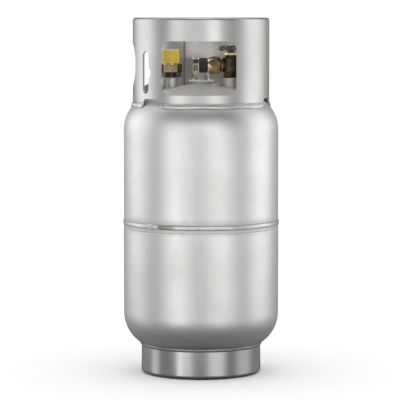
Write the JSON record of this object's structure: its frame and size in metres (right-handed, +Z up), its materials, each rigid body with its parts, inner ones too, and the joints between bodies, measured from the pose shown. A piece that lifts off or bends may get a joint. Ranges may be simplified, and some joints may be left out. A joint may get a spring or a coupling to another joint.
{
  "type": "propane cylinder",
  "caption": "Upright two-piece welded aluminium gas cylinder with foot ring, guard collar with a service window, and capped brass valves and float gauge inside the collar.",
  "frame": {"origin": "on the cylinder's axis, in the plane that the foot ring stands on", "axes": "+Z up along the cylinder's axis; -Y is the front, where the collar's service window is; +X is to the right seen from the front"},
  "size_m": [0.3132, 0.3132, 0.711],
  "materials": {
    "bare_shell": "satin, lightly brushed round the shell",
    "bare_collar": "satin, rolled sheet",
    "weld_bead": "as welded, rippled",
    "boss_aluminium": "machined",
    "valve_brass": "machined, dulled",
    "bright_brass": "machined, bright",
    "handwheel_paint": "semi-gloss dark paint",
    "plated_steel": "zinc plated, bright",
    "spring_steel": "drawn wire",
    "tube_steel": "drawn tube",
    "gauge_casting": "die cast",
    "seal_rubber": "matte",
    "cap_black": "moulded, matte",
    "cap_yellow": "moulded, satin",
    "dial_white": "moulded, satin",
    "pointer_red": "gloss",
    "magnet_dark": "sintered, matte",
    "clear_lens": "clear plastic",
    "bush_plastic": "moulded"
  },
  "bodies": {
    "cylinder": {"lower_head": "bare_shell", "upper_head": "bare_shell", "girth_weld": "weld_bead", "foot_ring": "bare_collar", "foot_ring_weld": "weld_bead", "collar": "bare_collar", "collar_weld": "weld_bead", "collar_seam_weld": "weld_bead", "service_boss": "boss_aluminium", "relief_boss": "boss_aluminium", "filler_boss": "boss_aluminium", "outage_boss": "boss_aluminium", "gauge_boss": "boss_aluminium", "boss_welds": "weld_bead", "valve_body": "valve_brass", "valve_bonnet": "bright_brass", "valve_packing": "seal_rubber", "eductor_tube": "tube_steel", "coupling_body": "bright_brass", "coupling_ring": "plated_steel", "coupling_spring": "spring_steel", "relief_body": "valve_brass", "relief_spring": "spring_steel", "filler_body": "valve_brass", "filler_guide": "valve_brass", "filler_spring": "spring_steel", "outage_body": "valve_brass", "outage_tube": "tube_steel", "gauge_head": "gauge_casting", "gauge_gasket": "seal_rubber", "gauge_screws": "plated_steel", "gauge_dial": "dial_white", "gauge_lens": "clear_lens", "gauge_tube": "gauge_casting", "gauge_bush": "bush_plastic"},
    "handwheel": {"valve_handwheel": "handwheel_paint", "valve_stem": "valve_brass", "handwheel_screw": "plated_steel"},
    "plug": {"valve_plug": "valve_brass", "valve_seat_disc": "seal_rubber"},
    "coupling_check": {"coupling_poppet": "bright_brass", "coupling_seal": "seal_rubber"},
    "coupling_dust_cap": {"coupling_cap": "cap_black"},
    "relief_disc": {"relief_poppet": "valve_brass", "relief_seat_disc": "seal_rubber", "relief_spring_nut": "valve_brass"},
    "relief_weather_cap": {"relief_cap": "cap_yellow"},
    "filler_check": {"filler_poppet": "valve_brass", "filler_seal": "seal_rubber"},
    "filler_screw_cap": {"filler_cap": "cap_black"},
    "vent_screw": {"outage_screw": "plated_steel"},
    "float": {"float_body": "seal_rubber", "float_arm": "tube_steel", "gauge_shaft": "tube_steel", "drive_magnet": "magnet_dark"},
    "pointer": {"gauge_pointer": "pointer_red", "pointer_magnet": "magnet_dark"}
  },
  "joints": [
    {"name": "handwheel_turn", "type": "hinge", "parent": "cylinder", "child": "handwheel", "pos_m": [0.06, -0.012, 0.65], "axis": [0, 0, 1], "range_deg": [0, 900]},
    {"name": "plug_lift", "type": "slide", "parent": "handwheel", "child": "plug", "axis": [0, 0, 1], "range_m": [0, 0.0038]},
    {"name": "coupling_check_push", "type": "slide", "parent": "cylinder", "child": "coupling_check", "axis": [1, 0, 0], "range_m": [0, 0.006], "stiffness_N_per_m": 600, "springref_m": -0.004, "deforming": ["coupling_spring"]},
    {"name": "coupling_cap_pull", "type": "slide", "parent": "cylinder", "child": "coupling_dust_cap", "axis": [-1, 0, 0], "range_m": [0, 0.02]},
    {"name": "relief_lift", "type": "slide", "parent": "cylinder", "child": "relief_disc", "axis": [0, 0, 1], "range_m": [0, 0.004], "stiffness_N_per_m": 3000, "springref_m": -0.006, "deforming": ["relief_spring"]},
    {"name": "relief_cap_pull", "type": "slide", "parent": "cylinder", "child": "relief_weather_cap", "axis": [0, 0, 1], "range_m": [0, 0.03]},
    {"name": "filler_check_push", "type": "slide", "parent": "cylinder", "child": "filler_check", "axis": [0, 0, -1], "range_m": [0, 0.006], "stiffness_N_per_m": 600, "springref_m": -0.004, "deforming": ["filler_spring"]},
    {"name": "filler_cap_pull", "type": "slide", "parent": "cylinder", "child": "filler_screw_cap", "axis": [0, 0, 1], "range_m": [0, 0.025]},
    {"name": "vent_screw_turn", "type": "hinge", "parent": "cylinder", "child": "vent_screw", "pos_m": [-0.0105, 0.075, 0.627], "axis": [0, 0, 1], "range_deg": [0, 540]},
    {"name": "float_swing", "type": "hinge", "parent": "cylinder", "child": "float", "pos_m": [0, 0.028, 0.377], "axis": [0, 0, -1], "range_deg": [0, 150]},
    {"name": "pointer_swing", "type": "hinge", "parent": "cylinder", "child": "pointer", "pos_m": [0, 0.028, 0.598], "axis": [0, 0, -1], "range_deg": [0, 150]}
  ],
  "couplings": [
    {"joint": "plug_lift", "follows": "handwheel_turn", "m_per_rad": 0.00023873},
    {"joint": "pointer_swing", "follows": "float_swing", "ratio": 1}
  ]
}
